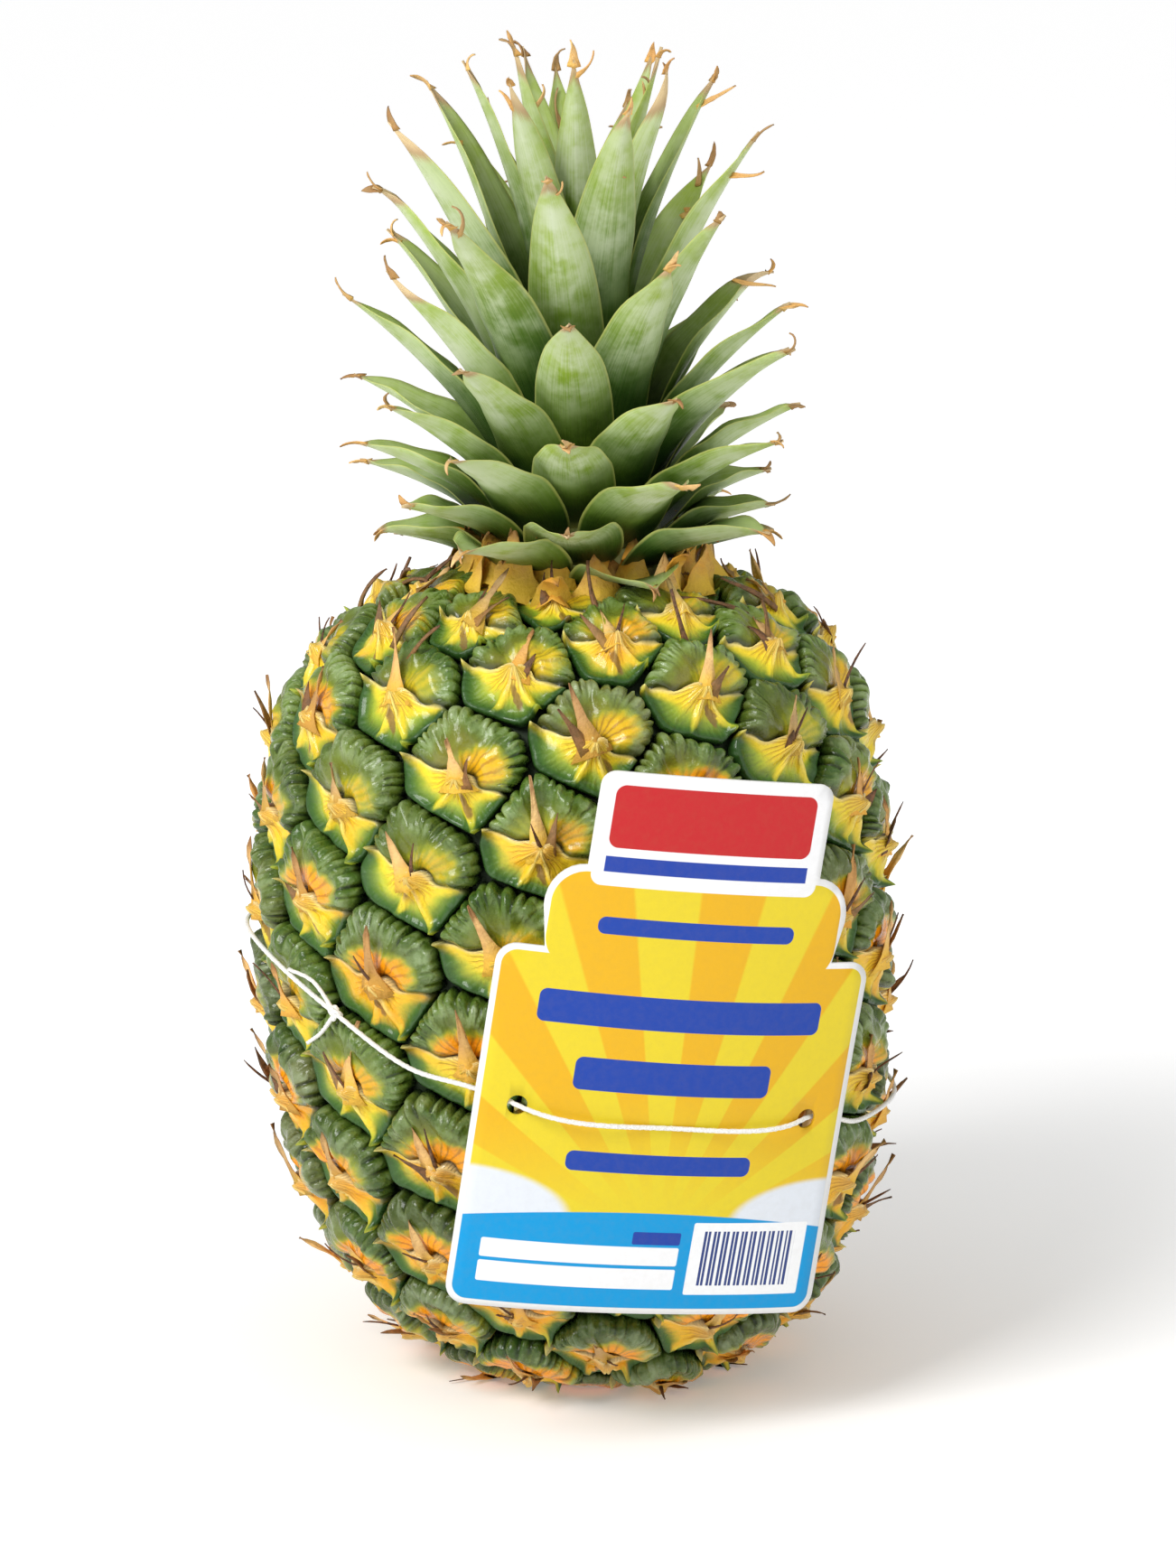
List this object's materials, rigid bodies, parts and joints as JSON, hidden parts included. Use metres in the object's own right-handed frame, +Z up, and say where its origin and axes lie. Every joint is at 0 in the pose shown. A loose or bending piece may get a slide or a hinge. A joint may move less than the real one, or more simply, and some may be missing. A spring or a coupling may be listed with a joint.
{
  "type": "pineapple",
  "caption": "Whole ripe pineapple standing on its flat base, with a short leafy crown and a blank printed swing tag tied on with thin string.",
  "frame": {"origin": "centre of the small flat base that the fruit rests on", "axes": "+Z up along the fruit to the crown, -Y is the front with the tag, +X to the viewer's right"},
  "size_m": [0.1336, 0.1441, 0.2732],
  "materials": {
    "rind": "waxy natural rind, glossy green lobes with yellow and orange bracts and tan dry tips",
    "stem": "pale green plant stem, matte",
    "leaf": "stiff green leaf with a pale waxy bloom and dry tan tips",
    "card": "thin coated card, yellow and blue print with a white edge",
    "string": "thin white twisted string"
  },
  "bodies": {
    "root": {"fruit": "rind", "crown_stem": "stem", "leaf_01": "leaf", "leaf_02": "leaf", "leaf_03": "leaf", "leaf_04": "leaf", "leaf_05": "leaf", "leaf_06": "leaf", "leaf_07": "leaf", "leaf_08": "leaf", "leaf_09": "leaf", "leaf_10": "leaf", "leaf_11": "leaf", "leaf_12": "leaf", "leaf_13": "leaf", "leaf_14": "leaf", "leaf_15": "leaf", "leaf_16": "leaf", "leaf_17": "leaf", "leaf_18": "leaf", "leaf_19": "leaf", "leaf_20": "leaf", "leaf_21": "leaf", "leaf_22": "leaf", "leaf_23": "leaf", "leaf_24": "leaf", "leaf_25": "leaf", "leaf_26": "leaf", "leaf_27": "leaf", "leaf_28": "leaf", "leaf_29": "leaf", "leaf_30": "leaf", "leaf_31": "leaf", "leaf_32": "leaf", "leaf_33": "leaf", "leaf_34": "leaf", "leaf_35": "leaf", "leaf_36": "leaf", "leaf_37": "leaf", "leaf_38": "leaf", "leaf_39": "leaf", "leaf_40": "leaf", "leaf_41": "leaf", "leaf_42": "leaf", "leaf_43": "leaf", "leaf_44": "leaf", "leaf_45": "leaf", "leaf_46": "leaf", "leaf_47": "leaf", "leaf_48": "leaf", "leaf_49": "leaf", "leaf_50": "leaf", "leaf_51": "leaf", "leaf_52": "leaf", "leaf_53": "leaf", "leaf_54": "leaf", "crown_heart": "leaf", "tag": "card", "tag_string": "string"}
  },
  "joints": []
}
